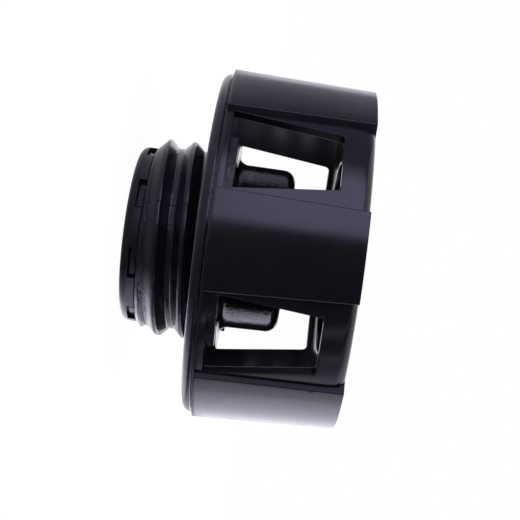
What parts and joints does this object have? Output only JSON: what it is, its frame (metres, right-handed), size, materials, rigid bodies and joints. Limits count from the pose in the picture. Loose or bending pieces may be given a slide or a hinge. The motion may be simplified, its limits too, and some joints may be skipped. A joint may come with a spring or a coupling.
{
  "type": "hydraulic filler cap",
  "caption": "Screw-in filler cap for a hydraulic tank: coarse threaded neck, sealing flange, vented valve housing and an open windowed grip drum with a stepped top.",
  "frame": {"origin": "centre of the end ring's lower face, which the cap stands on", "axes": "+Z along the cap's axis, from the neck to the top of the drum; -Y points at one grip lug"},
  "size_m": [0.0874, 0.09, 0.0568],
  "materials": {
    "drum_plastic": "satin moulded, near black",
    "body_plastic": "glossy moulded, near black",
    "ring_plastic": "satin moulded, near black",
    "inner_plastic": "matt moulded, dark grey",
    "cage_plastic": "matt moulded, natural",
    "rubber": "matt",
    "filter_foam": "open-cell foam, grey",
    "pressed_steel": "zinc plated",
    "spring_steel": "drawn wire",
    "screen_steel": "fine woven mesh",
    "turned_brass": "turned"
  },
  "bodies": {
    "cap": {"grip_drum": "drum_plastic", "closure_body": "body_plastic", "flange_gasket": "rubber", "end_ring": "ring_plastic", "splash_baffle": "inner_plastic", "valve_cage": "cage_plastic", "cage_o_ring": "rubber", "breather_element": "filter_foam", "element_core": "cage_plastic", "element_lower_cap": "cage_plastic", "element_upper_cap": "cage_plastic", "pressure_spring": "spring_steel", "spring_washer": "pressed_steel", "vent_screen": "screen_steel"},
    "pressure_valve": {"pressure_plate": "pressed_steel", "pressure_seal": "rubber", "vacuum_spring": "spring_steel"},
    "vacuum_valve": {"vacuum_disc": "turned_brass", "vacuum_seal": "rubber", "stem_clip": "spring_steel"}
  },
  "joints": [
    {"name": "pressure_lift", "type": "slide", "parent": "cap", "child": "pressure_valve", "axis": [0, 0, 1], "range_m": [0, 0.003], "stiffness_N_per_m": 1500, "springref_m": -0.0067, "deforming": ["pressure_spring"]},
    {"name": "vacuum_open", "type": "slide", "parent": "pressure_valve", "child": "vacuum_valve", "axis": [0, 0, -1], "range_m": [0, 0.0015], "stiffness_N_per_m": 100, "springref_m": -0.003, "deforming": ["vacuum_spring"]}
  ]
}
